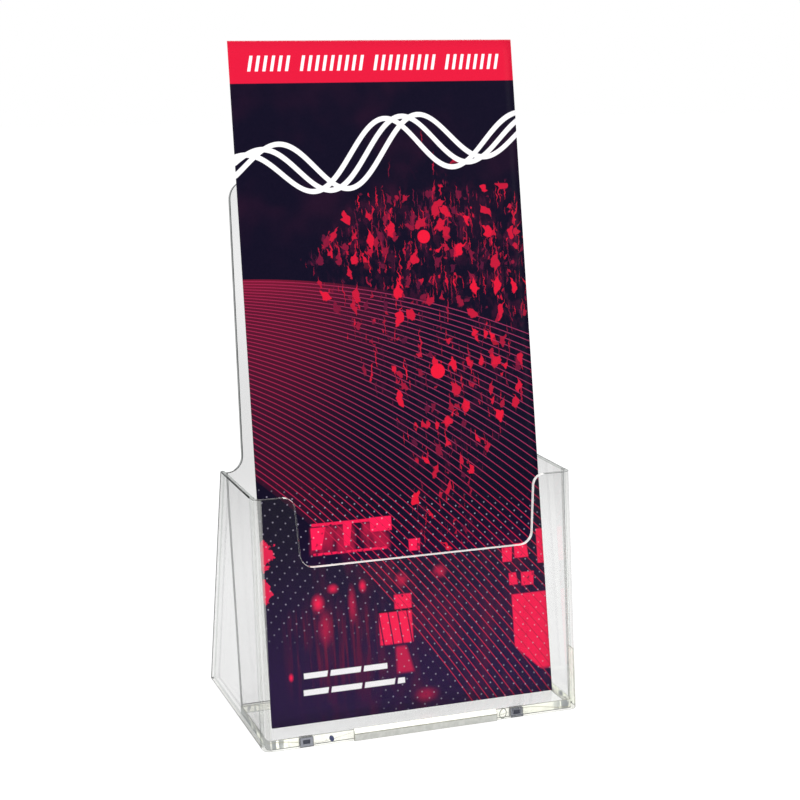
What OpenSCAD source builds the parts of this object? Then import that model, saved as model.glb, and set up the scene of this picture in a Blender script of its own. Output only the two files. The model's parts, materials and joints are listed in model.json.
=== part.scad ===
// Counter-top leaflet rack: a clear, single-pocket holder of bonded plastic sheets,
// with one tri-fold leaflet that lifts out of the pocket.
// Lengths are millimetres and angles are degrees. The front faces -Y and +Z is up.

/* [Rack] */
// Outer width, across the two side panels
rack_width = 112.2; // [108:0.1:125]
// Height of the front panel
pocket_height = 82.5; // [70:0.5:100]
// Height of the side panels at the back, and of the back panel's shoulders
shoulder_height = 82.4; // [70:0.1:100]
// Height of the back panel above the surface that the rack stands on
back_height = 181; // [150:1:200]
// Depth of the side panels where they stand
foot_depth = 74.2; // [66:0.2:84]
// Depth of the side panels at their top edge
side_top_depth = 52.1; // [51.5:0.1:60]
// Thickness of the front and side sheets
sheet = 1.6; // [1.5:0.1:2]
// Thickness of the back sheet
back_sheet = 2; // [1.6:0.1:2.2]
// Thickness of the floor plate
floor_sheet = 3.1; // [2:0.1:4]
// Lean of the front panel, from upright
front_lean = 5.5; // [3:0.5:7]
// Lean of the back panel and of the leaflet, from upright
back_lean = 10.2; // [9:0.1:10.4]
// Depth from the rack's front to the back panel's face, at its foot
back_foot = 34.1; // [32:0.1:35]

/* [Front panel] */
// Radius of the front panel's upright corners
corner_r = 3; // [2.2:0.1:4]
// Depth of the short returns behind those corners
return_depth = 5; // [4.5:0.1:7]
// Depth of the finger notch below the front panel's top edge
notch_depth = 23.5; // [15:0.5:40]
// Half width of the notch, between its two sides at the top
notch_half = 42; // [30:0.5:46]
// Inward slant of the notch's sides
notch_slant = 4; // [0:0.5:8]
// Radius of the notch's upper corners
notch_top_r = 4; // [2:0.5:5]
// Radius of the notch's lower corners
notch_low_r = 4.5; // [3:0.5:8]

/* [Back panel] */
// Half width of the back panel just above its shoulders
neck_half = 48.7; // [44:0.1:49.5]
// Half width of the back panel at its top
crown_half = 47.3; // [40:0.1:48]
// Radius of the fillet between each shoulder and the neck
shoulder_r = 5.5; // [3:0.5:5.5]
// Radius of the back panel's top corners
crown_r = 7; // [3:0.5:12]

/* [Base details] */
// Length of the lip along the base's front edge
lip_length = 51; // [30:1:60]
// Height of the lip
lip_height = 4.2; // [3:0.1:6]
// How far the lip stands out of the front panel
lip_proud = 0.8; // [0.4:0.1:1.5]
// Width of each square insert
insert_width = 4.4; // [3.5:0.1:6]
// Height of each square insert
insert_height = 3; // [2.4:0.1:4]
// Height of the rail at the foot of the right side
rail_height = 20; // [10:1:40]
// How far the rail stands out of the rack's right side
rail_proud = 0.5; // [0.3:0.1:1]

/* [Leaflet] */
// Width of the folded leaflet
leaflet_width = 101.6; // [99:0.1:104]
// Height of the leaflet
leaflet_height = 228.6; // [200:0.2:235]
// Thickness of the paper
paper = 0.35; // [0.3:0.05:0.5]
// Depth from the rack's front to the leaflet's cover, at its foot
leaflet_foot = 11.9; // [8:0.1:14]
// Sideways offset of the leaflet from the rack's middle
leaflet_offset = 0.7; // [-2:0.1:1.5]
// How much narrower the inner flap is than the cover
flap_short = 4; // [3:0.5:10]

/* [Hidden] */
$fn = 64;

half_width = rack_width / 2;
inner_width = rack_width - 2 * sheet;
front_slope = tan(front_lean);
back_slope = tan(back_lean);
return_end = return_depth / cos(front_lean);
// spare length on a shape that is cut off afterwards
spare = 10;

floor_depth = back_foot + floor_sheet * back_slope + back_sheet / cos(back_lean);
left_insert_x = -41.6;
right_insert_x = 33.1;
insert_z = 1.7;
insert_rim = 1;
insert_sill = 0.8;
lip_bevel = 1.8;
rail_front = 3.2;
rail_depth = 4;

// the leaflet's plan, seen in the horizontal plane of the floor plate's top
fold_inner_r = 0.25;
fold_r = fold_inner_r + paper;
touch_gap = 0.3;
leaf_run = leaflet_width - 2 * fold_r;
pocket_run = back_foot + floor_sheet * back_slope - leaflet_foot;
spring_angle = asin((pocket_run - touch_gap - 2 * fold_r) / leaf_run);
leaflet_rise = leaflet_height * cos(back_lean);
leaflet_rear = back_foot - touch_gap + (floor_sheet + leaflet_rise) * back_slope;

// the origin is under the middle of the whole object's box
middle_x = rail_proud / 2;
middle_y = (max(foot_depth, leaflet_rear) - lip_proud) / 2;

function arc(centre, radius, from, to, steps = 10) =
    [for (i = [0 : steps])
        let (a = from + (to - from) * i / steps)
        centre + radius * [cos(a), sin(a)]];

function mirrored(points) =
    [for (i = [len(points) - 1 : -1 : 0]) [-points[i][0], points[i][1]]];

module placed() {
    translate([-middle_x, -middle_y, 0])
        children();
}

// an upright outline in the XZ plane, given thickness towards +Y
module upright(thickness) {
    translate([0, thickness, 0])
        rotate([90, 0, 0])
            linear_extrude(thickness)
                children();
}

// a rectangle whose two front corners are rounded
module rounded_front(width, depth, radius) {
    intersection() {
        translate([-width / 2, 0])
            square([width, depth]);
        union() {
            translate([-width / 2, radius])
                square([width, depth]);
            translate([radius - width / 2, 0])
                square([width - 2 * radius, depth]);
            for (side = [-1, 1])
                translate([side * (width / 2 - radius), radius])
                    circle(radius);
        }
    }
}

// everything behind the front panel's outer face, or behind its inner face where inset is sheet
module behind_front(depth, inset) {
    rotate([-front_lean, 0, 0])
        translate([0, inset, -spare])
            linear_extrude(pocket_height + 2 * spare)
                rounded_front(rack_width - 2 * inset, depth, corner_r - inset);
}

module front_shell() {
    intersection() {
        difference() {
            behind_front(return_depth, 0);
            behind_front(return_depth + spare, sheet);
        }
        translate([-rack_width, -rack_width, 0])
            cube([2 * rack_width, 2 * rack_width, pocket_height]);
    }
}

module notch_outline() {
    top_centre = [notch_half + notch_top_r, pocket_height - notch_top_r];
    top_end = top_centre + notch_top_r * [-cos(notch_slant), sin(notch_slant)];
    low_z = pocket_height - notch_depth + notch_low_r;
    drop = (top_end[1] - low_z + notch_low_r * sin(notch_slant)) / cos(notch_slant);
    low_x = top_end[0] - drop * sin(notch_slant) - notch_low_r * cos(notch_slant);
    half = concat(
        [[top_centre[0], pocket_height + spare]],
        arc(top_centre, notch_top_r, 90, 180 - notch_slant),
        arc([low_x, low_z], notch_low_r, -notch_slant, -90));
    polygon(concat(half, mirrored(half)));
}

module insert_block(x, width, height) {
    translate([x - width / 2, -spare, insert_z - height / 2])
        cube([width, 2 * spare, height]);
}

module back_outline() {
    shoulder = shoulder_height / cos(back_lean);
    crown = back_height / cos(back_lean);
    half = concat(
        [[inner_width / 2, 0], [inner_width / 2, shoulder]],
        arc([neck_half + shoulder_r, shoulder + shoulder_r], shoulder_r, -90, -180),
        arc([crown_half - crown_r, crown - crown_r], crown_r, 0, 90));
    polygon(concat(half, mirrored(half)));
}

module side_outline() {
    polygon([
        [return_end, 0],
        [foot_depth, 0],
        [side_top_depth, shoulder_height],
        [return_end + pocket_height * front_slope, pocket_height]]);
}

module side_panel(x) {
    translate([x, 0, 0])
        rotate([90, 0, 90])
            linear_extrude(sheet)
                side_outline();
}

// a plan outline raised along the lean, so that its foot and its top stay level
module leaning_leaf() {
    translate([0, leaflet_foot, floor_sheet])
        multmatrix([[1, 0, 0, 0], [0, 1, back_slope, 0], [0, 0, 1, 0], [0, 0, 0, 1]])
            linear_extrude(leaflet_rise)
                translate([leaflet_offset - leaflet_width / 2 + fold_r, fold_r])
                    children();
}

module fold(from, to) {
    polygon(concat(arc([0, 0], fold_r, from, to), arc([0, 0], fold_inner_r, to, from)));
}

// moves from the left fold's centre to the right fold's, turned with the back leaf
module at_right_fold() {
    rotate(spring_angle)
        translate([leaf_run, 0])
            children();
}

module back_panel() {
    color("gainsboro", 0.6)
        placed()
            difference() {
                translate([0, back_foot, 0])
                    rotate([-back_lean, 0, 0])
                        upright(back_sheet)
                            back_outline();
                translate([-rack_width, -rack_width, floor_sheet - 2 * spare])
                    cube([2 * rack_width, 3 * rack_width, 2 * spare]);
            }
}

module left_side_panel() {
    color("whitesmoke", 0.6)
        placed()
            side_panel(-half_width);
}

module right_side_panel() {
    color("whitesmoke", 0.6)
        placed()
            side_panel(half_width - sheet);
}

module front_panel() {
    color("whitesmoke", 0.6)
        placed()
            difference() {
                front_shell();
                translate([0, -spare, 0])
                    upright(3 * spare)
                        notch_outline();
                insert_block(left_insert_x, insert_width, insert_height);
                insert_block(right_insert_x, insert_width, insert_height);
            }
}

module floor_plate() {
    color("ivory", 0.7)
        placed()
            intersection() {
                behind_front(floor_depth + spare, sheet);
                translate([-inner_width / 2, 0, 0])
                    cube([inner_width, floor_depth, floor_sheet]);
            }
}

module front_lip() {
    color("ivory", 0.8)
        placed()
            translate([-lip_length / 2, 0, 0])
                rotate([90, 0, 90])
                    linear_extrude(lip_length)
                        polygon([
                            [0, 0],
                            [lip_height * front_slope, lip_height],
                            [-lip_proud, lip_height - lip_bevel],
                            [-lip_proud, 0]]);
}

module square_insert(x) {
    intersection() {
        front_shell();
        difference() {
            insert_block(x, insert_width, insert_height);
            insert_block(x, insert_width - 2 * insert_rim, insert_height - 2 * insert_sill);
        }
    }
}

module left_insert() {
    color("dimgray")
        placed()
            square_insert(left_insert_x);
}

module right_insert() {
    color("dimgray")
        placed()
            square_insert(right_insert_x);
}

module side_rail() {
    rise = rail_height * front_slope;
    color("ivory", 0.8)
        placed()
            translate([half_width, 0, 0])
                rotate([90, 0, 90])
                    linear_extrude(rail_proud)
                        polygon([
                            [rail_front, 0],
                            [rail_front + rail_depth, 0],
                            [rail_front + rail_depth + rise, rail_height],
                            [rail_front + rise, rail_height]]);
}

// the cover ends in the left fold
module leaflet_cover() {
    color("midnightblue")
        placed()
            leaning_leaf() {
                translate([0, -fold_r])
                    square([leaflet_width - fold_r, paper]);
                fold(90 + spring_angle, 270);
            }
}

// the back leaf springs back to the back panel and ends in the right fold
module leaflet_back_leaf() {
    color("white")
        placed()
            leaning_leaf() {
                rotate(spring_angle)
                    translate([0, fold_inner_r])
                        square([leaf_run, paper]);
                at_right_fold()
                    fold(-90, 90);
            }
}

// the inner flap is tucked in front of the back leaf
module leaflet_inner_flap() {
    color("mistyrose")
        placed()
            leaning_leaf()
                at_right_fold()
                    translate([flap_short - leaf_run, -fold_r])
                        square([leaf_run - flap_short, paper]);
}

back_panel();
left_side_panel();
right_side_panel();
front_panel();
floor_plate();
front_lip();
left_insert();
right_insert();
side_rail();
leaflet_cover();
leaflet_back_leaf();
leaflet_inner_flap();
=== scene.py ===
"""Looks of the counter-top leaflet rack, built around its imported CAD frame.

Lengths are metres. Names that end in _MM, and the artwork on the leaflet, are in millimetres.
"""
import json
import math

import bmesh
import bpy
from mathutils import Matrix, Vector
from mathutils.bvhtree import BVHTree


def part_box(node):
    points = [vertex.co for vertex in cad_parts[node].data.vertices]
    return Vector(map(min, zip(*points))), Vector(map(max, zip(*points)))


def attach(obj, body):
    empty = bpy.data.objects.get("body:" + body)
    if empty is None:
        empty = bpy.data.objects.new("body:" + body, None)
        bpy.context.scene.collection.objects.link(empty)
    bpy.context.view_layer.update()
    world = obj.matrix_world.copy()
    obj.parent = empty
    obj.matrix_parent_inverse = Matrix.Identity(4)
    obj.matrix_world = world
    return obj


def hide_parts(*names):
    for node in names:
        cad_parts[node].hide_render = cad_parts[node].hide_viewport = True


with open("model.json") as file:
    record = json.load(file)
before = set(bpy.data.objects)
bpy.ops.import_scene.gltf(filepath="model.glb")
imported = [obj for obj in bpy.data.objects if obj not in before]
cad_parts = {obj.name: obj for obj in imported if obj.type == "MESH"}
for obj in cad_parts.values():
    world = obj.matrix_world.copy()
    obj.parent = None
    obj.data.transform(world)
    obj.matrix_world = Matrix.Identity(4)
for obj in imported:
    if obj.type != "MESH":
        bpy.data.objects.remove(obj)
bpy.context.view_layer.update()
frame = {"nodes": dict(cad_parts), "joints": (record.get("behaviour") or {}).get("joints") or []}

MM = 0.001
axis = frame["joints"][0]["axis"]
SLOPE = axis[1] / axis[2]
LEAN = math.atan(SLOPE)
cover_low, cover_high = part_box("leaflet_cover")
WIDTH_MM = (cover_high.x - cover_low.x) / MM
HEIGHT_MM = (cover_high.z - cover_low.z) / MM / math.cos(LEAN)


# ---------------------------------------------------------------- material nodes

def rgb(red, green, blue):
    """A colour given as 0 to 255 on a screen, as the shaders take it."""
    def linear(value):
        share = value / 255
        return share / 12.92 if share <= 0.04045 else ((share + 0.055) / 1.055) ** 2.4
    return (linear(red), linear(green), linear(blue), 1.0)


def operator(operation, swapped=False):
    """A method that adds a Math node for one of Python's operators."""
    def apply(self, other):
        pair = (other, self) if swapped else (self, other)
        return self.tree.math(operation, *pair)
    return apply


class Value:
    """A number that a material's nodes work out. Python's operators add Math nodes."""

    def __init__(self, tree, socket):
        self.tree = tree
        self.socket = socket

    __add__ = operator("ADD")
    __radd__ = operator("ADD", True)
    __sub__ = operator("SUBTRACT")
    __rsub__ = operator("SUBTRACT", True)
    __mul__ = operator("MULTIPLY")
    __rmul__ = operator("MULTIPLY", True)
    __truediv__ = operator("DIVIDE")
    __rtruediv__ = operator("DIVIDE", True)
    __pow__ = operator("POWER")

    def __abs__(self):
        return self.tree.math("ABSOLUTE", self)


class Tree:
    """A material's node tree, with short calls for the nodes that the materials here use."""

    def __init__(self, name):
        self.material = bpy.data.materials.new(name)
        self.material.use_nodes = True
        self.nodes = self.material.node_tree.nodes
        self.links = self.material.node_tree.links
        self.nodes.clear()
        self.object_mm = self.scaled(self.node("ShaderNodeTexCoord").outputs["Object"], 1 / MM)
        self.x, self.y, self.z = self.parts(self.object_mm)

    def parts(self, vector):
        """A vector's three parts."""
        separate = self.node("ShaderNodeSeparateXYZ", Vector=vector)
        return [Value(self, socket) for socket in separate.outputs]

    def feed(self, socket, value):
        """Links a value to a socket, or sets the socket to it where it is a constant."""
        if isinstance(value, Value):
            value = value.socket
        if isinstance(value, bpy.types.NodeSocket):
            self.links.new(value, socket)
        else:
            socket.default_value = value

    def node(self, kind, settings=None, **inputs):
        """A new node. An input's name has _ for a space."""
        made = self.nodes.new(kind)
        for name, value in (settings or {}).items():
            setattr(made, name, value)
        for name, value in inputs.items():
            self.feed(made.inputs[name.replace("_", " ")], value)
        return made

    def math(self, operation, *values):
        made = self.node("ShaderNodeMath", {"operation": operation})
        for socket, value in zip(made.inputs, values):
            self.feed(socket, value)
        return Value(self, made.outputs[0])

    def scaled(self, vector, scale):
        made = self.node("ShaderNodeVectorMath", {"operation": "SCALE"}, Scale=scale)
        self.feed(made.inputs[0], vector)
        return made.outputs[0]

    def vector(self, x, y, z=0.0):
        return self.node("ShaderNodeCombineXYZ", X=x, Y=y, Z=z).outputs[0]

    def smooth(self, value, start, end):
        """0 before start, 1 after end and a soft step between them. start may be above end."""
        made = self.node("ShaderNodeMapRange", {"interpolation_type": "SMOOTHSTEP"},
                         Value=value, From_Min=start, From_Max=end)
        return Value(self, made.outputs[0])

    def noise(self, vector, scale, detail=2.0, roughness=0.5):
        made = self.node("ShaderNodeTexNoise", Vector=vector, Scale=scale, Detail=detail,
                         Roughness=roughness)
        return Value(self, made.outputs[0])

    def blend(self, share, first, second):
        """The first colour where share is 0, and the second where it is 1."""
        made = self.node("ShaderNodeMix", {"data_type": "RGBA"})
        for index, value in ((0, share), (6, first), (7, second)):
            self.feed(made.inputs[index], value)
        return made.outputs[2]

    def mix(self, share, first, second):
        """The first shader where share is 0, and the second where it is 1."""
        made = self.node("ShaderNodeMixShader", Fac=share)
        self.feed(made.inputs[1], first)
        self.feed(made.inputs[2], second)
        return made.outputs[0]

    def bump(self, height, strength, distance):
        return self.node("ShaderNodeBump", Height=height, Strength=strength,
                         Distance=distance).outputs[0]

    def surface(self, shader):
        """The finished material."""
        self.feed(self.node("ShaderNodeOutputMaterial").inputs["Surface"], shader)
        return self.material


# ---------------------------------------------------------------- clear plastic

SURFACE_GLOSS = 0.04
SHEET_ROUGHNESS = 0.03
HAIRLINE_ROUGHNESS = 0.12
HAIRLINE_MILK = 0.012
DUST_MILK = 0.04
PLASTIC_IOR = 1.49
CLEAR = (0.985, 0.986, 0.985, 1.0)
MILK = rgb(235, 236, 236)

# The base's front edge, in mm: a painted shadow on its right end, dark streaks at both ends that are
# painted reflections, and its sagging flow line
END_SHADOW_X = 36
PAINTED_STREAKS_START, PAINTED_STREAKS_FULL = 44, 52
FLOW_START, FLOW_FULL = 24, 28
FLOW_HEIGHT = 1.4
FLOW_SWING = 0.9
FLOW_TURN = 0.21


def shaded(colour, factor):
    """A colour made darker or lighter."""
    return tuple(factor * part for part in colour[:3]) + (1.0,)


def clear_plastic(name, tint, milk=MILK, milk_share=0.0):
    """A sheet's face: what is behind it, a thin reflection, and faint ripples, hairlines and dust."""
    t = Tree(name)
    ripple = t.noise(t.object_mm, 0.03, 1.0)
    hairline_seed = t.vector(t.x * 0.9 + t.z * 0.25, t.y * 0.9, t.z * 0.02)
    hairline = t.smooth(t.noise(hairline_seed, 1.0, 3.0), 0.70, 0.78)
    dust = t.smooth(t.noise(t.object_mm, 1.7, 0.0), 0.80, 0.86)
    normal = t.bump(ripple, 0.08, 0.002)
    grazing = Value(t, t.node("ShaderNodeLayerWeight", Blend=0.5).outputs["Facing"])
    mirror = SURFACE_GLOSS + (1 - SURFACE_GLOSS) * grazing ** 5
    gloss = t.node("ShaderNodeBsdfGlossy", Color=(1, 1, 1, 1), Normal=normal,
                   Roughness=SHEET_ROUGHNESS + hairline * HAIRLINE_ROUGHNESS)
    clear = t.node("ShaderNodeBsdfTransparent", Color=tint)
    haze = t.node("ShaderNodeBsdfDiffuse", Color=milk)
    haze_share = milk_share + dust * DUST_MILK + hairline * HAIRLINE_MILK
    body = t.mix(haze_share, clear.outputs[0], haze.outputs[0])
    return t.surface(t.mix(mirror, body, gloss.outputs[0]))


def base_shade_and_flow(t, tone, strength):
    """Lays over tone the base's front edge: a painted shadow on its right end, painted reflections as
    dark streaks at both ends, and the sagging flow line that the mould left.
    """
    shadow = t.smooth(t.x, END_SHADOW_X - 0.5, END_SHADOW_X + 0.5)
    tone = t.blend(shadow * 0.45, tone, rgb(196, 200, 190))
    # Dark streaks at both ends: painted reflections.
    marks = t.smooth(t.noise(t.vector(t.x * 0.7, t.y * 0.1, t.z * 0.12), 1.0, 2.0), 0.46, 0.58)
    at_ends = t.smooth(abs(t.x), PAINTED_STREAKS_START, PAINTED_STREAKS_FULL)
    tone = t.blend(marks * at_ends * strength, tone, rgb(112, 118, 124))
    sag = t.z - FLOW_HEIGHT - FLOW_SWING * t.math("SINE", t.x * FLOW_TURN)
    flow = t.smooth(abs(sag), 0.24, 0.06) * t.smooth(abs(t.x), FLOW_START, FLOW_FULL)
    return t.blend(flow * 0.55, tone, rgb(150, 146, 120))


def lit_edge(name, colour, clear_share, glow=0.0, streaks=0.0):
    """A polished edge that pipes light, painted bright with a painted glow: a little milky, with fine saw
    marks.
    """
    t = Tree(name)
    fine = t.noise(t.vector(t.x * 0.5, t.y * 0.5, t.z * 0.5), 1.0, 3.0)
    shade = t.smooth(fine, 0.35, 0.65)
    tone = t.blend(shade * 0.3, colour, shaded(colour, 0.8))
    # streaks lays the base's painted shadow and painted reflections over the tone.
    if streaks:
        tone = base_shade_and_flow(t, tone, streaks)
    # Emission_Strength makes the edge glow: painted light.
    body = t.node("ShaderNodeBsdfPrincipled", Base_Color=tone, Roughness=0.22, IOR=PLASTIC_IOR,
                  Emission_Color=tone, Emission_Strength=glow, Normal=t.bump(fine, 0.2, 0.0003))
    clear = t.node("ShaderNodeBsdfTransparent", Color=colour)
    return t.surface(t.mix(clear_share + 0.1 * shade, body.outputs[0], clear.outputs[0]))


def dark_arris(name, colour, clear_share, low_clear=0.0):
    """The narrow rounded corner of a sheet, painted dark as shade for the light that it bends away.
    low_clear makes it clearer towards the foot."""
    t = Tree(name)
    patches = t.noise(t.object_mm, 0.12, 2.0)
    tone = t.blend(t.smooth(patches, 0.3, 0.7), colour, shaded(colour, 1.7))
    body = t.node("ShaderNodeBsdfPrincipled", Base_Color=tone, Roughness=0.12, IOR=PLASTIC_IOR)
    clear = t.node("ShaderNodeBsdfTransparent", Color=rgb(225, 228, 225))
    share = clear_share + 0.08 * patches
    if low_clear:
        share = share + t.smooth(t.z, 75, 35) * low_clear
    return t.surface(t.mix(share, body.outputs[0], clear.outputs[0]))


def insert_plastic(name, colour):
    """Satin grey moulded plastic, with a fine texture."""
    t = Tree(name)
    grain = t.noise(t.object_mm, 6.0, 3.0)
    body = t.node("ShaderNodeBsdfPrincipled", Roughness=0.42 + 0.2 * grain,
                  Base_Color=t.blend(grain, colour, rgb(96, 98, 112)),
                  Normal=t.bump(grain, 0.25, 0.0002))
    return t.surface(body.outputs[0])


# ---------------------------------------------------------------- the leaflet's print

NAVY = rgb(8, 5, 32)
WARM_NAVY = rgb(58, 14, 44)
VIOLET = rgb(38, 10, 66)
PLUM = rgb(84, 12, 50)
WINE = rgb(104, 6, 52)
DEEP_RED = rgb(120, 10, 46)
DIM_RED = rgb(122, 10, 50)
HAZE_RED = rgb(160, 12, 48)
CRIMSON = rgb(228, 12, 50)
BAND_RED = rgb(222, 14, 54)
HOT = rgb(252, 20, 78)
LINE_PINK = rgb(162, 50, 94)
LINE_RED = rgb(164, 32, 74)
LOW_LINE_RED = rgb(204, 24, 66)
DOT_LILAC = rgb(196, 190, 212)
GRAIN_LILAC = rgb(90, 60, 100)
WHITE = rgb(250, 248, 250)
PAGE = rgb(236, 234, 232)
PAGE_GREY = rgb(120, 118, 128)

# How far the ornament's strokes and the plain bars lean for each mm up
PRINT_SLANT = 0.22


class Artwork:
    """The leaflet's printed side. u runs from the reader's left, and v up from the foot, in mm."""

    def __init__(self, name, mirrored=False):
        t = Tree(name)
        self.t = t
        across = t.x - cover_low.x / MM
        self.u = WIDTH_MM - across if mirrored else across
        self.v = (t.z - cover_low.z / MM) / math.cos(LEAN)
        self.ink = t.blend(t.smooth(self.v, 80, 10) * 0.88, NAVY, VIOLET)

    def lay(self, mask, colour):
        """Prints a colour over what is there, as strongly as mask says."""
        self.ink = self.t.blend(mask, self.ink, colour)

    def block(self, u0, u1, v0, v1, soft=0.3, slant=0.0):
        """A mask for a rectangle. slant moves its right edge for each mm up."""
        t = self.t
        right = u1 + slant * (self.v - v0) if slant else u1
        sides = t.smooth(self.u - u0, -soft, soft) * t.smooth(right - self.u, -soft, soft)
        return sides * t.smooth(self.v, v0 - soft, v0 + soft) * t.smooth(self.v, v1 + soft, v1 - soft)

    def glow(self, u0, v0, wide, tall, sharp=0.0):
        """A mask that falls from 1 at a point to 0 on an ellipse round it."""
        across = (self.u - u0) / wide
        up = (self.v - v0) / tall
        return self.t.smooth(self.t.math("SQRT", across * across + up * up), 1.0, sharp)

    def curve(self, height, slope, thickness):
        """A mask for a line along v = height, drawn as thick where it is steep as where it is flat."""
        steep = self.t.math("SQRT", 1 + slope * slope)
        away = abs(self.v - height) / steep
        return self.t.smooth(away, thickness / 2 + 0.12, thickness / 2 - 0.12)

    def shards(self, size, share, stretch, seed, lean, belly_share):
        """Scattered ragged shapes, one for each cell of the given size. share says how many cells
        have one. Returns the mask and a random brightness."""
        t = self.t
        ragged_u = t.noise(t.vector(self.u, self.v, seed), 2.2 / size, 2.0) - 0.5
        ragged_v = t.noise(t.vector(self.v, self.u, seed + 5.0), 2.2 / size, 2.0) - 0.5
        place = t.vector(self.u / size + ragged_u * 0.55 + seed,
                         self.v / (size * stretch) + ragged_v * 0.55)
        cells = t.node("ShaderNodeTexVoronoi", {"voronoi_dimensions": "2D"},
                       Vector=place, Scale=1.0, Randomness=0.95)
        offset = t.node("ShaderNodeVectorMath", {"operation": "SUBTRACT"})
        t.feed(offset.inputs[0], place)
        t.feed(offset.inputs[1], cells.outputs["Position"])
        local = t.node("ShaderNodeSeparateXYZ", Vector=offset.outputs[0]).outputs
        dx, dy = Value(t, local[0]), Value(t, local[1])
        chance = t.node("ShaderNodeSeparateColor", Color=cells.outputs["Color"]).outputs
        turn, presence, tone = [Value(t, socket) for socket in chance]
        angle = (turn - 0.5) * lean
        cosine, sine = t.math("COSINE", angle), t.math("SINE", angle)
        length = dx * sine + dy * cosine
        beside = dx * cosine - dy * sine
        half_width = 0.06 + belly_share * t.smooth(length, 0.35, -0.30)
        belly = abs(beside) / half_width + abs(length) / 0.46
        mask = t.smooth(belly, 1.05, 0.85) * t.smooth(share - presence, 0.0, 0.04)
        return mask, tone

    def rows(self, u0, u1, v, tall, pitch, seed):
        """A mask for a row of plain slanted bars, where a line of print would be."""
        t = self.t
        slanted = self.u + seed - (self.v - v) * PRINT_SLANT
        beat = t.math("FLOORED_MODULO", slanted, pitch) / pitch
        gap = t.smooth(abs(beat - 0.5), 0.47, 0.44)
        return gap * self.block(u0, u1, v, v + tall, 0.15)

    def finish(self, gloss=0.36):
        """The printed, coated paper."""
        t = self.t
        fibre = t.noise(t.object_mm, 5.0, 4.0, 0.6)
        print_grain = t.noise(t.object_mm, 1.1, 2.0)
        worn = t.smooth(self.v, HEIGHT_MM - 0.5, HEIGHT_MM) * t.smooth(fibre, 0.45, 0.7)
        self.lay(worn * 0.5, WHITE)
        self.lay(0.04 * print_grain, GRAIN_LILAC)
        paper = t.node("ShaderNodeBsdfPrincipled", Base_Color=self.ink, Specular_IOR_Level=0.10,
                       Roughness=gloss + 0.15 * fibre, Normal=t.bump(fibre, 0.06, 0.0001))
        return t.surface(paper.outputs[0])


# The hall's small lights: middle across and up, half width, half height and strength
HALL_LIGHTS = (
    (18.5, 39.5, 3.0, 4.2, 0.95), (24.0, 44.0, 2.6, 2.2, 0.80), (34.5, 43.8, 1.8, 2.9, 0.90),
    (30.5, 38.0, 2.0, 8.5, 0.45), (20.5, 31.0, 3.4, 8.0, 0.40), (7.6, 16.0, 1.1, 1.9, 1.1),
    (55.0, 4.5, 5.5, 3.4, 0.35), (62.5, 46.0, 3.4, 3.0, 0.55), (48.5, 44.5, 3.2, 3.6, 0.50))
# Ragged lit shapes at the left edge: middle across and up, half width and half height
HALL_CORNERS = ((1.0, 57.5, 4.4, 6.0), (0.6, 45.0, 3.0, 5.4))
# Lit blocks: left, right, foot, top, and how far the right edge slants for each mm up
HALL_BLOCKS = (
    (86.0, 89.4, 46.6, 51.6, 0.1), (90.6, 95.8, 47.6, 52.6, -0.1), (88.0, 91.2, 38.4, 42.6, -0.12),
    (92.6, 97.0, 37.8, 42.4, 0.1), (99.2, 101.6, 45.0, 57.0, 0.0), (17.6, 21.0, 57.6, 65.0, 0.25),
    (29.0, 31.0, 58.0, 65.6, 0.15), (38.6, 46.2, 61.8, 66.6, 0.0), (52.0, 55.8, 54.0, 58.0, 0.1))
WINDOW_PITCH = 3.4


def lay_hall_lights(art, wavy, ragged):
    """A dim glow, the small lights, and the streaks of their reflections."""
    t = art.t
    low = t.smooth(art.v, 62, 48) * t.smooth(art.u, 8, 20)
    art.lay(low * t.smooth(wavy, 0.42, 0.75) * 0.40, WINE)
    streaks = t.noise(t.vector(art.u * 0.55, art.v * 0.03, 5.0), 1.0, 3.0)
    under = t.smooth(art.v, 40, 32) * t.smooth(art.v, 4, 22)
    under = under * t.smooth(art.u, 4, 12) * t.smooth(art.u, 44, 34)
    art.lay(under * t.smooth(streaks, 0.44, 0.66) * 0.55, DIM_RED)
    for u0, v0, wide, tall, strength in HALL_LIGHTS:
        art.lay(art.glow(u0, v0, wide, tall) * strength * t.smooth(ragged, 0.15, 0.45), HOT)


def lay_window(art, ragged):
    """The lit window with its frames, the block over it, and its reflection."""
    t = art.t
    beat = t.math("FLOORED_MODULO", art.u + 0.12 * art.v + 0.6, WINDOW_PITCH) - WINDOW_PITCH / 2
    frames = t.smooth(abs(beat), 1.35, 1.55)
    window = art.block(39.6, 51.4, 23.0, 34.0, 0.4) * t.smooth(ragged + art.u * 0.02, 1.0, 1.25)
    art.lay(window * (1 - 0.85 * frames), HOT)
    art.lay(art.block(45.5, 51.6, 34.6, 39.6, 0.4) * t.smooth(ragged, 0.25, 0.45), HOT)
    art.lay(art.block(39.5, 51.5, 33.9, 34.6, 0.2, 0.6) * 0.85, NAVY)
    art.lay(art.block(45.0, 51.0, 13.0, 22.0, 0.8, -0.25) * 0.55, HOT)


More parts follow.
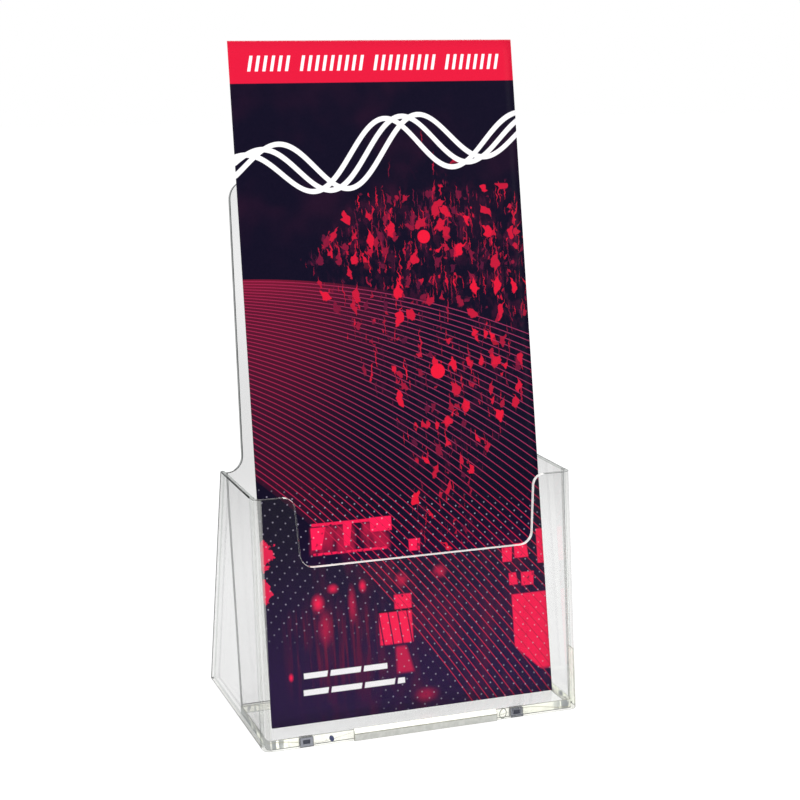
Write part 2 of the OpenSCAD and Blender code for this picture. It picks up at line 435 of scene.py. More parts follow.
def lay_panels(art, wavy, ragged):
    """The ragged shapes at both edges, the lit blocks, and the low wide frame."""
    t = art.t
    for u0, v0, wide, tall in HALL_CORNERS:
        corner = abs(art.u - u0) / wide + abs(art.v - v0) / tall
        art.lay(t.smooth(corner + (ragged - 0.5) * 2.4, 0.95, 0.80) * 0.85, HOT)
    slanted_foot = t.smooth(art.v + 0.95 * (art.u - 89.0), 16.0, 17.0) * t.smooth(art.v, 7.5, 9.0)
    art.lay(art.block(88.6, WIDTH_MM, 7.0, 35.0, 0.3) * slanted_foot * (0.8 + 0.4 * ragged), HOT)
    for u0, u1, v0, v1, slant in HALL_BLOCKS:
        art.lay(art.block(u0, u1, v0, v1, 0.25, slant) * t.smooth(ragged, 0.25, 0.42), HOT)
    art.lay(art.block(18.0, 45.0, 65.4, 66.4, 0.2) * t.smooth(ragged, 0.30, 0.42) * 0.9, HOT)
    art.lay(art.block(18.0, 44.0, 55.6, 56.4, 0.2) * t.smooth(ragged, 0.38, 0.50) * 0.9, HOT)
    art.lay(art.block(17.0, 45.0, 56.0, 65.0, 1.0) * t.smooth(wavy, 0.35, 0.6) * 0.4, HOT)


def lay_ground(art):
    """The hall in the lower half: small lights, a lit window, panels and their reflections."""
    wavy = art.t.noise(art.t.vector(art.u * 0.16, art.v * 0.05), 1.0, 3.0)
    ragged = art.t.noise(art.t.vector(art.u * 0.5, art.v * 0.5, 3.0), 1.0, 3.0)
    lay_hall_lights(art, wavy, ragged)
    lay_window(art, ragged)
    lay_panels(art, wavy, ragged)


# The drifting shapes, layer by layer: cell size, share of cells, stretch, seed, lean, belly, lowest
# brightness and strength
SHARD_LAYERS = (
    (1.7, 0.50, 3.4, 2.3, 0.9, 0.08, 0.0, 0.70), (3.4, 0.55, 3.2, 6.1, 1.0, 0.00, 0.1, 0.80),
    (2.1, 0.30, 1.4, 1.7, 2.8, 0.18, 0.0, 0.70), (5.2, 0.34, 2.0, 8.6, 0.9, 0.02, 0.3, 0.90),
    (4.0, 0.34, 1.5, 4.1, 2.8, 0.26, 0.0, 0.90), (5.6, 0.34, 1.3, 5.5, 1.2, 0.30, 0.1, 0.90),
    (7.4, 0.55, 1.2, 7.3, 2.2, 0.24, 0.6, 0.95))
# Two round shapes among them: middle across and up, and radius
SHARD_DISCS = ((66.6, 114.6, 2.7), (64.6, 161.0, 2.4))


def cluster_density(art):
    """How much of the drifting column of shapes there is at a place: wide above, narrow below."""
    t = art.t
    rising = 20.5 + (art.v - 154) * 0.95
    falling = t.math("MINIMUM", 20.5 + (154 - art.v) * 0.5, 53.0)
    left = t.math("MAXIMUM", rising, falling)
    right = t.math("MINIMUM", t.math("MAXIMUM", 102 - (108 - art.v) * 0.75, 77.0), 102.0)
    inside = t.smooth(art.u - left, -2.0, 4.0) * t.smooth(right - art.u, -2.0, 4.0)
    crown = t.smooth(art.v, 181, 170) + 0.25 * art.glow(70, 178, 22, 24)
    above_fan = t.smooth(art.v + art.u * 0.28, 156, 164)
    return inside * crown * (0.45 + 0.55 * above_fan) * t.smooth(art.v, 50, 60)


def lay_cluster(art):
    """Drifting petals and thin streaks in many tones of crimson."""
    t = art.t
    clumps = t.noise(t.vector(art.u * 0.11, art.v * 0.11, 2.0), 1.0, 2.0)
    density = cluster_density(art) * (0.35 + 1.3 * t.smooth(clumps, 0.36, 0.60))
    dim = t.noise(t.vector(art.u * 0.30, art.v * 0.16, 9.0), 1.0, 4.0, 0.65)
    art.lay(density * t.smooth(dim, 0.47, 0.62) * 0.30, PLUM)
    for size, share, stretch, seed, lean, belly, low, strength in SHARD_LAYERS:
        mask, tone = art.shards(size, density * share, stretch, seed, lean, belly)
        art.lay(mask * strength, t.blend(low + (1 - low) * tone * tone, PLUM, CRIMSON))
    for u0, v0, radius in SHARD_DISCS:
        art.lay(art.glow(u0, v0, radius, radius, 0.9), CRIMSON)


# The fan is one family of curves, v = top - sag u^2 - slope (reach + u + flare u^2).
FAN_TOP = 151.7
FAN_REACH = 84.3
FAN_SAG = 0.00177
FAN_FLARE = 0.00452
# How many lines there are for each unit of slope, its square and its cube
FAN_COUNT = (101.1, -73.2, 28.5)
FAN_FIRST = 2.6
FAN_LAST = 49.5
FAN_HALF_LINE = 0.14
FAN_SOFT = 0.10


def lay_fan(art):
    """Thin lines that spread from the left edge, with a red haze over their close ends."""
    t = art.t
    bent = FAN_TOP - FAN_SAG * art.u * art.u - art.v
    reach = FAN_REACH + art.u + FAN_FLARE * art.u * art.u
    slope = bent / reach
    first, second, third = FAN_COUNT
    count = slope * (first + slope * (second + slope * third))
    steep = slope * (1 + 2 * FAN_FLARE * art.u) + 2 * FAN_SAG * art.u
    rate = (first + slope * (2 * second + slope * 3 * third)) / reach
    per_mm = rate * t.math("SQRT", 1 + steep * steep)
    inside = t.smooth(count, FAN_FIRST, FAN_FIRST + 0.3) * t.smooth(count, FAN_LAST, FAN_LAST - 0.3)
    rising_haze = 0.4 * t.smooth(art.v, 92, 150) + 0.5 * t.smooth(art.v, 138, 154)
    art.lay(inside * t.smooth(art.u, 70, 0) * rising_haze * 0.62, HAZE_RED)
    art.lay(inside * t.smooth(art.u, 45, 0) * 0.16, DEEP_RED)
    off_line = abs(t.math("FRACT", count) - 0.5) / per_mm
    line = t.smooth(off_line, FAN_HALF_LINE + FAN_SOFT, FAN_HALF_LINE - FAN_SOFT)
    upper = t.blend(t.smooth(art.u, 60, 15), LINE_PINK, LINE_RED)
    art.lay(inside * line * 0.88, t.blend(t.smooth(art.v, 95, 55), upper, LOW_LINE_RED))


WAVE_HEIGHT = 184
WAVE_RISE = 0.13
WAVE_LENGTH = 52
WAVE_SWING = 11.0
WAVE_THICK = 1.7
WAVE_SHIFTS = (0.0, 0.75, 1.5)


def lay_waves(art):
    """Three white wave lines in the upper part."""
    t = art.t
    for shift in WAVE_SHIFTS:
        turn = art.u * (2 * math.pi / WAVE_LENGTH) + shift
        swing = WAVE_SWING * (0.55 + 0.45 * t.math("SINE", art.u * (math.pi / 102)))
        height = WAVE_HEIGHT + WAVE_RISE * art.u + swing * t.math("SINE", turn)
        rate = WAVE_RISE + swing * t.math("COSINE", turn) * (2 * math.pi / WAVE_LENGTH)
        art.lay(art.curve(height, rate, WAVE_THICK), WHITE)


BAND_FOOT = 214.35
STROKES_FOOT, STROKES_TOP = 218.4, 223.6
STROKE_ORIGIN = 218
STROKE_PITCH = 2.6
STROKE_GROUP = 26.0


def lay_band(art, hatched):
    """The red band across the top and, where hatched, its ornament of slanted strokes in groups."""
    t = art.t
    art.lay(t.smooth(art.v, BAND_FOOT - 0.15, BAND_FOOT + 0.15), BAND_RED)
    if hatched:
        slanted = art.u - (art.v - STROKE_ORIGIN) * PRINT_SLANT
        beat = t.math("FLOORED_MODULO", slanted, STROKE_PITCH) - STROKE_PITCH / 2
        group = t.math("FLOORED_MODULO", slanted + 4, STROKE_GROUP) - STROKE_GROUP / 2
        strokes = t.smooth(abs(beat), 0.62, 0.45) * t.smooth(abs(group), 12.0, 11.6)
        ends = t.smooth(slanted, 5.2, 5.3) * t.smooth(slanted, 96.2, 96.1)
        row = art.block(0, WIDTH_MM, STROKES_FOOT, STROKES_TOP, 0.15)
        art.lay(strokes * ends * row, WHITE)


# The dots stand on a slanted lattice: one dot's place and the steps to its two neighbours
DOT_START = Vector((5.79, 74.34))
DOT_ROW = Vector((4.327, -0.724))
DOT_COLUMN = Vector((-1.792, -1.796))


def lay_dots(art):
    """Small pale dots over the lower part, fainter here and there, and none in the lower left."""
    t = art.t
    area = DOT_ROW.x * DOT_COLUMN.y - DOT_ROW.y * DOT_COLUMN.x
    u, v = art.u - DOT_START.x, art.v - DOT_START.y
    along_row = (u * DOT_COLUMN.y - v * DOT_COLUMN.x) / area
    along_column = (v * DOT_ROW.x - u * DOT_ROW.y) / area
    row = t.math("FRACT", along_row + 0.5) - 0.5
    column = t.math("FRACT", along_column + 0.5) - 0.5
    across = row * DOT_ROW.x + column * DOT_COLUMN.x
    up = row * DOT_ROW.y + column * DOT_COLUMN.y
    distance = t.math("SQRT", across * across + up * up)
    lower_left = t.smooth(art.u, 44, 34) * t.smooth(art.v, 34, 24)
    where = t.smooth(art.v + art.u * 0.12, 82, 76) * (1 - lower_left)
    strong = 0.20 + 0.5 * t.noise(t.vector(art.u * 0.35, art.v * 0.35), 1.0, 1.0)
    art.lay(t.smooth(distance, 0.38, 0.14) * where * strong, DOT_LILAC)


# The two rows of plain bars at the lower left: left end, right end and foot
BAR_ROWS = ((12.0, 41.5, 15.0), (11.6, 47.5, 9.4))
BAR_TALL = 1.9
BAR_PITCH = 11.8
PAGE_MARGIN = 6
PAGE_ROWS = 12


def cover_print():
    """The side of the leaflet that faces the reader."""
    art = Artwork("print_cover")
    warm = art.t.noise(art.t.vector(art.u * 0.05, art.v * 0.05, 7.0), 1.0, 2.0)
    art.lay(art.t.smooth(warm, 0.45, 0.75) * art.t.smooth(art.v, 140, 175) * 0.30, WARM_NAVY)
    lay_ground(art)
    lay_fan(art)
    lay_cluster(art)
    lay_dots(art)
    lay_waves(art)
    lay_band(art, True)
    for left, right, foot in BAR_ROWS:
        art.lay(art.rows(left, right, foot, BAR_TALL, BAR_PITCH, 3.0), WHITE)
    return art.finish()


def rear_print():
    """The side of the leaflet that faces the back panel: the same band and fan, and no scene."""
    art = Artwork("print_rear", mirrored=True)
    lay_fan(art)
    lay_dots(art)
    lay_band(art, False)
    return art.finish()


def inner_print():
    """The leaflet's inside: light paper with a thin crimson rule and grey rows."""
    art = Artwork("print_inside")
    art.ink = PAGE
    art.lay(art.block(PAGE_MARGIN, WIDTH_MM - PAGE_MARGIN, 206, 207.2, 0.2), CRIMSON)
    for row in range(PAGE_ROWS):
        right = WIDTH_MM - 8 - (row * 7) % 20
        foot = 190 - 9 * row
        art.lay(art.block(PAGE_MARGIN, right, foot, foot + 1.2, 0.2), PAGE_GREY)
    return art.finish(0.42)


def paper_core():
    """The paper's cut edge."""
    t = Tree("paper_edge")
    fibre = t.noise(t.object_mm, 8.0, 3.0)
    tone = t.blend(fibre, rgb(214, 208, 214), rgb(150, 140, 160))
    paper = t.node("ShaderNodeBsdfPrincipled", Base_Color=tone, Roughness=0.8, Specular_IOR_Level=0.2)
    return t.surface(paper.outputs[0])


# ---------------------------------------------------------------- pieces from meshes

def smoothed(mesh):
    """The same mesh, with every face marked smooth."""
    for face in mesh.faces:
        face.smooth = True
    return mesh


def new_piece(name, mesh, materials):
    """An object made of a bmesh, which is freed, and its materials."""
    made = bpy.data.meshes.new(name)
    mesh.to_mesh(made)
    mesh.free()
    for material in materials:
        made.materials.append(material)
    piece = bpy.data.objects.new(name, made)
    bpy.context.scene.collection.objects.link(piece)
    return piece


# ---------------------------------------------------------------- the leaflet's leaves

PAPER = 0.35 * MM
FOLD_INNER = 0.25 * MM
FOLD_OUTER = FOLD_INNER + PAPER
FOLD_MIDDLE = FOLD_INNER + PAPER / 2
LEAF_RUN = WIDTH_MM * MM - 2 * FOLD_OUTER
BOW = 0.9 * MM
FOLD_STEPS = 12
RUN_STEPS = 28
HEIGHT_STEPS = 40
QUARTER = math.pi / 2
PRINT_OUT, PRINT_IN, CUT_EDGE = range(3)

rear_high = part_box("leaflet_back_leaf")[1]
RISE = cover_high.z - cover_low.z
SPRING = math.asin((rear_high.y - RISE * SLOPE - cover_low.y - 2 * FOLD_OUTER) / LEAF_RUN)


def along(start, end, bow):
    """Points of a leaf's run in plan, from start to end, bowed to its left."""
    run = end - start
    side = Vector((-run.y, run.x)).normalized()
    shares = [i / RUN_STEPS for i in range(RUN_STEPS + 1)]
    return [start + run * share + side * bow * math.sin(math.pi * share) for share in shares]


def round_fold(centre, start, end):
    """Points of a fold in plan, from one angle to another round its centre."""
    angles = [start + (end - start) * i / FOLD_STEPS for i in range(FOLD_STEPS + 1)]
    return [centre + FOLD_MIDDLE * Vector((math.cos(angle), math.sin(angle))) for angle in angles]


def raised(mesh, path, normals, side):
    """Rows of a leaf's corners on one side of its path, from the foot to the top."""
    rows = []
    for j in range(HEIGHT_STEPS + 1):
        rise = RISE * j / HEIGHT_STEPS
        row = []
        for point, normal in zip(path, normals):
            place = point + normal * side * PAPER / 2
            row.append(mesh.verts.new((place.x, place.y + rise * SLOPE, cover_low.z + rise)))
        rows.append(row)
    return rows


def leaf(name, path, materials):
    """A leaf of paper that follows path in plan and rises along the lean, as one closed solid."""
    normals = []
    for i in range(len(path)):
        run = path[min(i + 1, len(path) - 1)] - path[max(i - 1, 0)]
        normals.append(Vector((-run.y, run.x)).normalized())
    mesh = bmesh.new()
    outer = raised(mesh, path, normals, 1)
    inner = raised(mesh, path, normals, -1)
    for j in range(HEIGHT_STEPS):
        for i in range(len(path) - 1):
            for rows, slot in ((outer, PRINT_OUT), (inner, PRINT_IN)):
                ring = [rows[j][i], rows[j][i + 1], rows[j + 1][i + 1], rows[j + 1][i]]
                face = mesh.faces.new(ring if slot == PRINT_OUT else ring[::-1])
                face.material_index = slot
                face.smooth = True
    rims = [(outer[0], inner[0]), (inner[-1], outer[-1]),
            ([row[0] for row in inner], [row[0] for row in outer]),
            ([row[-1] for row in outer], [row[-1] for row in inner])]
    for first, second in rims:
        for i in range(len(first) - 1):
            face = mesh.faces.new((first[i + 1], first[i], second[i], second[i + 1]))
            face.material_index = CUT_EDGE
    bmesh.ops.recalc_face_normals(mesh, faces=mesh.faces)
    return new_piece(name, mesh, materials)


def build_leaflet():
    """The three leaves, from the cover's free edge round both folds to the flap's."""
    left_fold = Vector((cover_low.x + FOLD_OUTER, cover_low.y + FOLD_OUTER))
    turned = Vector((math.cos(SPRING), math.sin(SPRING)))
    right_fold = left_fold + turned * LEAF_RUN
    behind = Vector((-turned.y, turned.x)) * FOLD_MIDDLE
    free_edge = Vector((cover_high.x, left_fold.y - FOLD_MIDDLE))
    fold_front = Vector((left_fold.x, left_fold.y - FOLD_MIDDLE))
    flap_start = right_fold - behind
    flap_run = (flap_start.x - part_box("leaflet_inner_flap")[0].x) / turned.x
    cover = along(free_edge, fold_front, 0)
    cover += round_fold(left_fold, -QUARTER, -3 * QUARTER + SPRING)[1:]
    back = along(left_fold + behind, right_fold + behind, -BOW)[:-1]
    back += round_fold(right_fold, SPRING + QUARTER, SPRING - QUARTER)
    flap = along(flap_start, flap_start - turned * flap_run, BOW)
    printed = cover_print()
    rear = rear_print()
    inside = inner_print()
    core = paper_core()
    for node, path, outward, slot in (("leaflet_cover", cover, printed, "printed_paper"),
                                      ("leaflet_back_leaf", back, rear, "printed_paper"),
                                      ("leaflet_inner_flap", flap, inside, "plain_paper")):
        piece = leaf(node + "_sheet", path, (outward, inside, core))
        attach(piece, "leaflet")
        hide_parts(node)


# ---------------------------------------------------------------- the clear sheets

ARRIS_SIZE = 0.42 * MM
SMALL_ARRIS = 0.2 * MM
THICKEST_SHEET = 3.6 * MM
SHARP = math.radians(30)
NEARLY_FLAT = math.radians(0.3)
TOUCHING = 0.06 * MM
NEAR = 0.01 * MM
FACE, EDGE, ARRIS, SEAM = range(4)

# The notch is inside this distance from the rack's middle and above this height
NOTCH_REACH = 47.5 * MM
NOTCH_FLOOR = 50 * MM


def clean_copy(node):
    """A CAD node's mesh with its split corners joined and its flat faces whole."""
    mesh = bmesh.new()
    mesh.from_mesh(frame["nodes"][node].data)
    bmesh.ops.remove_doubles(mesh, verts=mesh.verts, dist=1e-6)
    bmesh.ops.dissolve_limit(mesh, angle_limit=NEARLY_FLAT, verts=mesh.verts, edges=mesh.edges)
    return mesh


def is_broad(tree, face):
    """True for a face with the sheet's own thickness behind it, and False for an edge's face."""
    start = face.calc_center_median_weighted() - face.normal * NEAR
    return tree.ray_cast(start, -face.normal, THICKEST_SHEET)[0] is not None


def bonded_to(tree, face):
    """True for a face that lies on a face of the other sheet."""
    start = face.calc_center_median_weighted() - face.normal * TOUCHING
    hit = tree.ray_cast(start, face.normal, 2 * TOUCHING)
    return hit[0] is not None and abs(hit[1].dot(face.normal)) > 0.99


def polished_sheet(node, materials, bonded=(), arris_size=ARRIS_SIZE):
    """Stands for a CAD sheet: the same sheet with small rounded arrises. materials are those of its
    faces, edges, arrises and seams. bonded names the nodes that it meets with no line between."""
    mesh = clean_copy(node)
    own = BVHTree.FromBMesh(mesh)
    others = []
    for name in bonded:
        other = clean_copy(name)
        others.append(BVHTree.FromBMesh(other))
        other.free()
    seams = set()
    for face in mesh.faces:
        if is_broad(own, face):
            face.material_index = FACE
        elif any(bonded_to(tree, face) for tree in others):
            face.material_index = SEAM
            seams.update(face.edges)
        else:
            face.material_index = EDGE
    sharp = [edge for edge in mesh.edges if edge not in seams and len(edge.link_faces) == 2
             and edge.calc_face_angle() > SHARP]
    bmesh.ops.bevel(mesh, geom=sharp, offset=arris_size, offset_type="OFFSET", segments=2, profile=0.5,
                    affect="EDGES", clamp_overlap=True, material=ARRIS)
    piece = new_piece(node + "_polished", smoothed(mesh), materials)
    flat = piece.modifiers.new("flat faces", "WEIGHTED_NORMAL")
    flat.keep_sharp = True
    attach(piece, "rack")
    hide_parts(node)
    return piece


def recolour(piece, material, wanted):
    """Gives a material of its own to the faces that wanted picks."""
    piece.data.materials.append(material)
    for face in piece.data.polygons:
        if wanted(face):
            face.material_index = len(piece.data.materials) - 1


def light_notch(piece):
    """Gives the notch's arrises the edge's bright material as a painted highlight. The wall that faces
    the reader's right is seen through the sheet and stays clear."""
    for face in piece.data.polygons:
        in_notch = abs(face.center.x) < NOTCH_REACH and face.center.z > NOTCH_FLOOR
        if not in_notch:
            continue
        if face.normal.x > 0.3 and face.material_index in (EDGE, ARRIS):
            face.material_index = FACE
        elif face.material_index == ARRIS:
            face.material_index = EDGE


def light_lip(piece):
    """Gives the lip painted light and shade: a bright top as a painted highlight, dark ends as painted
    shade, and one grey front.
    """
    for face in piece.data.polygons:
        if face.material_index == ARRIS:
            continue
        if face.normal.z > 0.2:
            face.material_index = EDGE
        elif abs(face.normal.x) > 0.5:
            face.material_index = ARRIS
        else:
            face.material_index = FACE


def faces_back(face):
    return face.material_index == EDGE and face.normal.y > 0.5


def faces_up(face):
    return face.material_index == EDGE and face.normal.z > 0.9


def faces_sideways(face):
    return face.material_index in (EDGE, ARRIS) and abs(face.normal.x) > 0.5


def arris_inside(face):
    """An arris on a side panel's inner side, where the sheet behind hides most of its shade."""
    return face.material_index == ARRIS and face.center.x * face.normal.x < 0


def in_corner(face):
    """The front panel's rounded upright corners."""
    turned = 0.12 < abs(face.normal.x) < 0.97
    return face.material_index == FACE and turned and abs(face.normal.z) < 0.3


def inner_corner(face):
    """The inside of the front panel's right corner, which is seen along its surface."""
    inward = face.normal.x < -0.5 and face.normal.y > 0.08
    return face.material_index == FACE and face.center.x > NOTCH_REACH and inward


def beside_notch(face):
    """The front panel's top edge, beside the notch."""
    return faces_up(face) and abs(face.center.x) > NOTCH_REACH


# ---------------------------------------------------------------- the rack's small parts

SOCKET_INSET = Vector((0.9 * MM, 0.5 * MM, 0.7 * MM))
RING_AROUND, RING_ACROSS = 32, 8
RING_THICK = 0.1

# The mould's marks: distance from the lip's end, depth behind the front face, height, half sizes and tilt
OVAL_SHIFT, OVAL_DEPTH, OVAL_HEIGHT = 7.6 * MM, 0.10 * MM, 1.8 * MM
OVAL_SIZE = (0.75 * MM, 0.12 * MM, 1.15 * MM)
OVAL_TILT = math.radians(-25)
RING_SHIFT, RING_DEPTH, RING_HEIGHT = 2.4 * MM, 0.12 * MM, 2.0 * MM
RING_SIZE = (1.2 * MM, 1.2 * MM, 1.7 * MM)
RING_TILT = math.radians(8)


def dark_socket(node, colour):
    """The dark plug that stands back inside an insert's square hole: a dark thing put in as the hole's
    painted shade.
    """
    low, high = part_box(node)
    size = high - low - 2 * SOCKET_INSET
    mesh = bmesh.new()
    bmesh.ops.create_cube(mesh, size=1.0)
    for vertex in mesh.verts:
        vertex.co = (low + high) / 2 + Vector(part * whole for part, whole in zip(vertex.co, size))
    bmesh.ops.bevel(mesh, geom=mesh.edges[:], offset=0.15 * MM, segments=2, profile=0.5, affect="EDGES")
    piece = new_piece(node + "_socket", mesh, [colour])
    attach(piece, "rack")


def ball():
    """A ball of radius 1."""
    mesh = bmesh.new()
    bmesh.ops.create_uvsphere(mesh, u_segments=24, v_segments=12, radius=1.0)
    return mesh


def ring():
    """An upright ring of radius 1 that faces the reader."""
    mesh = bmesh.new()
    rows = []
    for i in range(RING_AROUND):
        around = 2 * math.pi * i / RING_AROUND
        row = []
        for j in range(RING_ACROSS):
            across = 2 * math.pi * j / RING_ACROSS
            out = 1 + RING_THICK * math.cos(across)
            row.append(mesh.verts.new((math.cos(around) * out, RING_THICK * math.sin(across),
                                       math.sin(around) * out)))
        rows.append(row)
    for i in range(RING_AROUND):
        row, following = rows[i], rows[(i + 1) % RING_AROUND]
        for j in range(RING_ACROSS):
            k = (j + 1) % RING_ACROSS
            mesh.faces.new((row[j], row[k], following[k], following[j]))
    bmesh.ops.recalc_face_normals(mesh, faces=mesh.faces)
    return mesh


def small_mark(name, mesh, place, size, tilt, colour):
    """A mark that the mould left on the front, from a shape of radius 1."""
    turn = Matrix.Rotation(tilt, 4, "Y")
    scale = Matrix.Diagonal((size[0], size[1], size[2], 1.0))
    mesh.transform(Matrix.Translation(place) @ turn @ scale)
    piece = new_piece(name, smoothed(mesh), [colour])
    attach(piece, "rack")


# ---------------------------------------------------------------- the rack

def build_walls(edge, arris, seam):
    """The back panel, the two side panels and the front panel."""
    face = clear_plastic("clear_face", CLEAR)
    # The right side panel gets a darker copy of the clear face: painted shade.
    shaded_right_face = clear_plastic("shaded_right_face", (0.965, 0.966, 0.965, 1.0))
    # Painted light and shade on the sheets' edges: a dark outline on the back panel's sides, painted
    # highlights on the side panels' back and top edges, and lighter painted shade on their inner arrises.
    outline = dark_arris("outline_edge", rgb(112, 114, 113), 0.0)
    rear_edge = lit_edge("rear_edge", rgb(246, 247, 246), 0.80)
    top_edge = lit_edge("side_top_edge", rgb(212, 214, 212), 0.72)
    inner_arris = dark_arris("inner_arris", rgb(150, 152, 152), 0.75)
    # Painted shade on the front panel's rounded upright corners, greyed with a milky tint, and a painted
    # dark line inside its right corner, clearer towards the foot.
    corner = clear_plastic("corner_shade_face", (0.90, 0.90, 0.895, 1.0), rgb(208, 209, 206), 0.28)
    corner_shade_line = dark_arris("corner_shade_line", rgb(120, 124, 128), 0.1, 0.7)
    back = polished_sheet("back_panel", (face, edge, arris, seam))
    recolour(back, outline, faces_sideways)
    for node, own_face in (("left_side_panel", face), ("right_side_panel", shaded_right_face)):
        side = polished_sheet(node, (own_face, edge, arris, seam), ["front_panel"])
        recolour(side, rear_edge, faces_back)
        recolour(side, top_edge, faces_up)
        recolour(side, inner_arris, arris_inside)
    front = polished_sheet("front_panel", (face, edge, arris, seam),
                           ["left_side_panel", "right_side_panel"])
    light_notch(front)
    recolour(front, corner_shade_line, inner_corner)
    recolour(front, corner, in_corner)
    # The front panel's top edge beside the notch takes the lit top-edge material: painted light.
    recolour(front, top_edge, beside_notch)


def build_base(seam):
    """The floor plate, the lip and the side rail."""
    face = clear_plastic("base_face", CLEAR, rgb(250, 250, 238), 0.02)
    # Painted light: the base's edges, the lip and the rail are painted bright and glow, the base's front
    # edge carries a painted shadow and painted reflections, and the arrises are painted dark as shade.
    edge = lit_edge("base_edge", rgb(253, 253, 240), 0.0, 0.34, 0.85)
    arris = dark_arris("base_arris", rgb(150, 150, 138), 0.35)
    lip_front = lit_edge("lip_front", rgb(196, 197, 192), 0.15, 0.12)
    lip_edge = lit_edge("lip_edge", rgb(253, 253, 244), 0.0, 0.30)
    rail = lit_edge("rail_edge", rgb(253, 254, 246), 0.0, 0.45)
    polished_sheet("floor_plate", (face, edge, arris, seam), arris_size=SMALL_ARRIS)
    lip = polished_sheet("front_lip", (lip_front, lip_edge, arris, seam),
                         arris_size=SMALL_ARRIS)
    light_lip(lip)
    polished_sheet("side_rail", (rail, rail, arris, seam), arris_size=SMALL_ARRIS)


def build_inserts(seam):
    """The two square inserts, each with a dark plug in its hole as painted shade."""
    grey = insert_plastic("insert_grey", rgb(168, 170, 176))
    dark = insert_plastic("insert_dark", rgb(14, 16, 36))
    for node in ("left_insert", "right_insert"):
        polished_sheet(node, (grey, grey, grey, seam), arris_size=SMALL_ARRIS)
        dark_socket(node, dark)


def build_marks():
    """The small oval to the left of the lip and the small ring to its right. Their dark greys are painted
    shade, as on the arrises.
    """
    lip_low, lip_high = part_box("front_lip")
    front_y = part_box("front_panel")[0].y
    small_mark("mould_oval", ball(), (lip_low.x - OVAL_SHIFT, front_y + OVAL_DEPTH, OVAL_HEIGHT),
               OVAL_SIZE, OVAL_TILT, dark_arris("oval_grey", rgb(58, 62, 92), 0.1))
    small_mark("mould_ring", ring(), (lip_high.x + RING_SHIFT, front_y + RING_DEPTH, RING_HEIGHT),
               RING_SIZE, RING_TILT, dark_arris("ring_grey", rgb(120, 122, 116), 0.35))


def build_rack():
    """The rack's sheets and small parts, with the materials that they share."""
    # The shared edge is painted bright and glows, and the shared arris is painted dark as shade.
    edge = lit_edge("clear_edge", rgb(252, 252, 248), 0.10, 0.22)
    arris = dark_arris("clear_arris", rgb(38, 40, 40), 0.0)
    seam = clear_plastic("bonded_seam", rgb(250, 251, 250))
    build_walls(edge, arris, seam)
    build_base(seam)
    build_inserts(seam)
    build_marks()


# ---------------------------------------------------------------- camera, light and floor

CAMERA_PLACE = Vector((-0.19755, -0.57645, 0.2307))
CAMERA_YAW = math.radians(20.24)
CAMERA_PITCH = math.radians(-9.99)
CAMERA_ROLL = math.radians(-0.18)
SENSOR_WIDTH = 36
LENS = 81.2
LENS_SHIFT = (-0.0369, -0.0624)

# How bright the white world is behind clear plastic, and how much the sky in reflections leans back
BEHIND_CLEAR = 0.75
SKY_LEAN = 0.55
SKY_LOW, SKY_HIGH = -0.3, 1.0
SKY_DARK = (0.04, 0.04, 0.05, 1)
SKY_BRIGHT = (0.86, 0.87, 0.88, 1)
ROOM_LIGHT = (0.90, 0.90, 0.91, 1)

FLOOR_HALF = 4.0
FLOOR_DROP = 0.0002
FLOOR_GLOW = 0.88


def add_camera():
    """The viewpoint: to the left of the rack, a little above it, and turned towards it."""
    data = bpy.data.cameras.new("camera")
    data.sensor_width = SENSOR_WIDTH
    data.lens = LENS
    data.shift_x, data.shift_y = LENS_SHIFT
    data.clip_start = 0.01
    camera = bpy.data.objects.new("camera", data)
    bpy.context.scene.collection.objects.link(camera)
    turn = (Matrix.Rotation(-CAMERA_YAW, 4, "Z") @ Matrix.Rotation(QUARTER + CAMERA_PITCH, 4, "X")
            @ Matrix.Rotation(CAMERA_ROLL, 4, "Z"))
    camera.matrix_world = Matrix.Translation(CAMERA_PLACE) @ turn
    bpy.context.scene.camera = camera


class WorldTree(Tree):
    """The world's node tree. x, y and z are the direction that a ray looks in."""

    def __init__(self, name):
        self.world = bpy.data.worlds.new(name)
        self.world.use_nodes = True
        self.nodes = self.world.node_tree.nodes
        self.links = self.world.node_tree.links
        self.nodes.clear()
        direction = self.node("ShaderNodeTexCoord").outputs["Generated"]
        self.x, self.y, self.z = self.parts(direction)


def add_world():
    """White round the object, a little darker through clear plastic, and a gradient in reflections."""
    t = WorldTree("studio")
    path = t.node("ShaderNodeLightPath").outputs
    through = t.math("GREATER_THAN", path["Transparent Depth"], 0.5)
    seen = t.blend(through, (1, 1, 1, 1), (BEHIND_CLEAR, BEHIND_CLEAR, BEHIND_CLEAR, 1))
    high = t.smooth(t.z + SKY_LEAN * t.y, SKY_LOW, SKY_HIGH)
    mirrored = t.blend(high, SKY_DARK, SKY_BRIGHT)
    lit = t.blend(path["Is Glossy Ray"], ROOM_LIGHT, mirrored)
    colour = t.blend(path["Is Camera Ray"], lit, seen)
    background = t.node("ShaderNodeBackground", Color=colour)
    t.feed(t.node("ShaderNodeOutputWorld").inputs["Surface"], background.outputs[0])
    bpy.context.scene.world = t.world


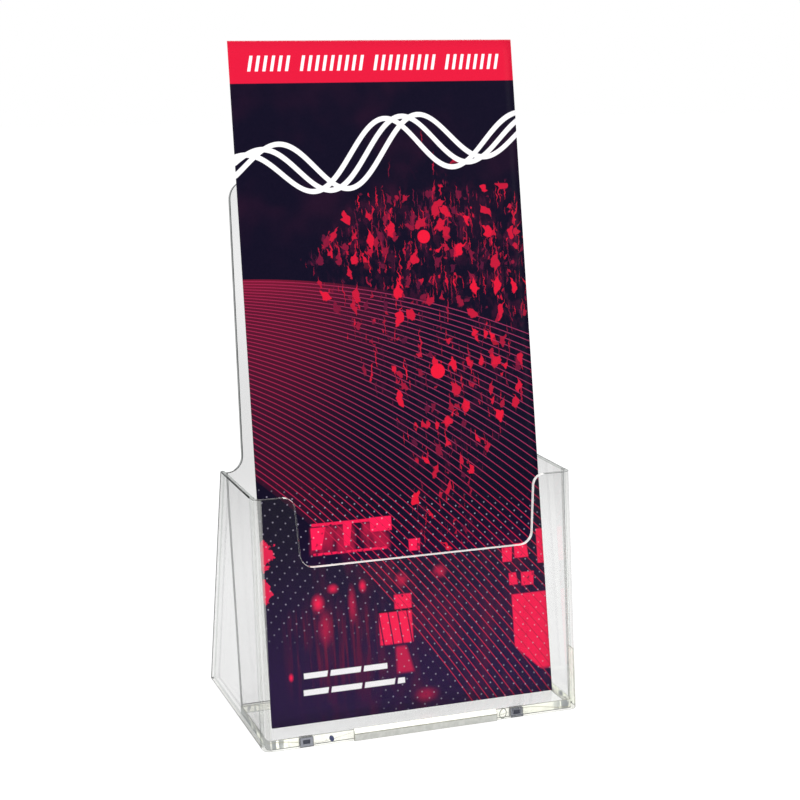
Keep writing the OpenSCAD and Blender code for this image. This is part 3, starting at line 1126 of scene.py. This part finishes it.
def floor_white():
    """Pale paint with a light of its own. It is darker through clear plastic and in reflections."""
    t = Tree("floor_white")
    path = t.node("ShaderNodeLightPath").outputs
    through = t.math("GREATER_THAN", path["Transparent Depth"], 0.5)
    behind = 0.35 * t.smooth(t.y, 130, 350) - 0.07 - 0.12 * t.smooth(t.y, 450, 1000)
    own = t.node("ShaderNodeEmission", Color=(1, 1, 1, 1), Strength=FLOOR_GLOW - through * behind)
    grain = t.noise(t.object_mm, 0.004, 2.0)
    paint = t.node("ShaderNodeBsdfDiffuse", Color=t.blend(grain, rgb(120, 120, 120), rgb(126, 126, 126)))
    both = t.node("ShaderNodeAddShader")
    t.feed(both.inputs[0], own.outputs[0])
    t.feed(both.inputs[1], paint.outputs[0])
    bounce = 0.10 + 0.50 * t.smooth(t.y, -38, 30)
    mirrored = t.node("ShaderNodeEmission", Color=(1, 1, 1, 1), Strength=bounce)
    return t.surface(t.mix(path["Is Glossy Ray"], both.outputs[0], mirrored.outputs[0]))


def add_floor():
    """A wide plain floor, a hair below the rack's foot."""
    mesh = bpy.data.meshes.new("floor")
    corners = [(x * FLOOR_HALF, y * FLOOR_HALF, -FLOOR_DROP)
               for x, y in ((-1, -1), (1, -1), (1, 1), (-1, 1))]
    mesh.from_pydata(corners, [], [(0, 1, 2, 3)])
    floor = bpy.data.objects.new("floor", mesh)
    bpy.context.scene.collection.objects.link(floor)
    mesh.materials.append(floor_white())


def area_light(name, place, size, power):
    """A soft rectangular light that is turned to the rack's middle."""
    data = bpy.data.lights.new(name, "AREA")
    data.shape = "RECTANGLE"
    data.size, data.size_y = size
    data.energy = power
    light = bpy.data.objects.new(name, data)
    light.location = place
    middle = Vector((0, 0, 0.10))
    light.rotation_euler = (middle - Vector(place)).to_track_quat("-Z", "Y").to_euler()
    light.visible_camera = False
    bpy.context.scene.collection.objects.link(light)


def add_lights():
    """A large key light, a fill on the right and a rim light behind."""
    area_light("key", (-0.9, -1.1, 1.3), (1.0, 1.0), 9)
    area_light("fill", (1.2, -0.8, 0.7), (0.9, 1.2), 4)
    area_light("rim", (0.2, 1.3, 1.0), (1.4, 0.7), 4)


add_camera()
add_world()
add_floor()
add_lights()
build_leaflet()
build_rack()

scene = bpy.context.scene
scene.view_settings.view_transform = "Standard"
scene.cycles.transparent_max_bounces = 48
